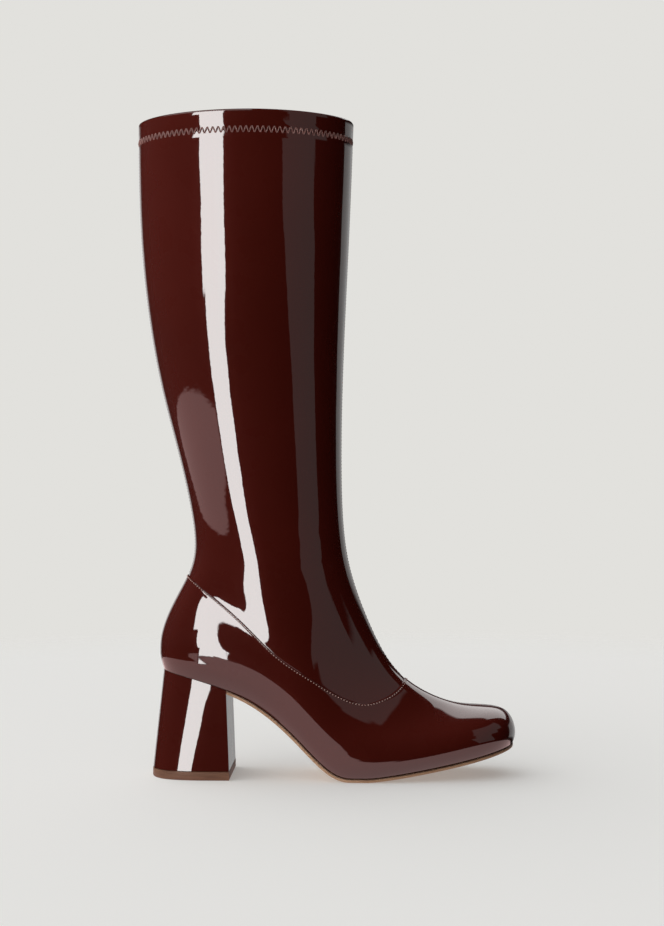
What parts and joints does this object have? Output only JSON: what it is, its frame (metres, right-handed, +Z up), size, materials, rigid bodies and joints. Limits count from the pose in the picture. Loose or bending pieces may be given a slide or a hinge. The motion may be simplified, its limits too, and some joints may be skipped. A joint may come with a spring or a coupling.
{
  "type": "tall boot",
  "caption": "Knee-high pull-on dress boot with a smooth slim shaft, lapped foot panel, soft square toe, thin sole and flared block heel.",
  "frame": {"origin": "on the floor, at the centre of the heel's resting face", "axes": "+X towards the toe, +Y towards the inner side of the foot, +Z up along the shaft"},
  "size_m": [0.263, 0.105, 0.455],
  "materials": {
    "upper": "high gloss patent, burgundy",
    "outsole": "smooth, tan, with a darker top edge",
    "insole": "matt lining leather",
    "heel_block": "high gloss patent, burgundy, wrapped over a moulded block",
    "top_piece": "matt brown"
  },
  "bodies": {
    "root": {"upper": "upper", "outsole": "outsole", "insole": "insole", "heel_block": "heel_block", "top_piece": "top_piece"}
  },
  "joints": []
}
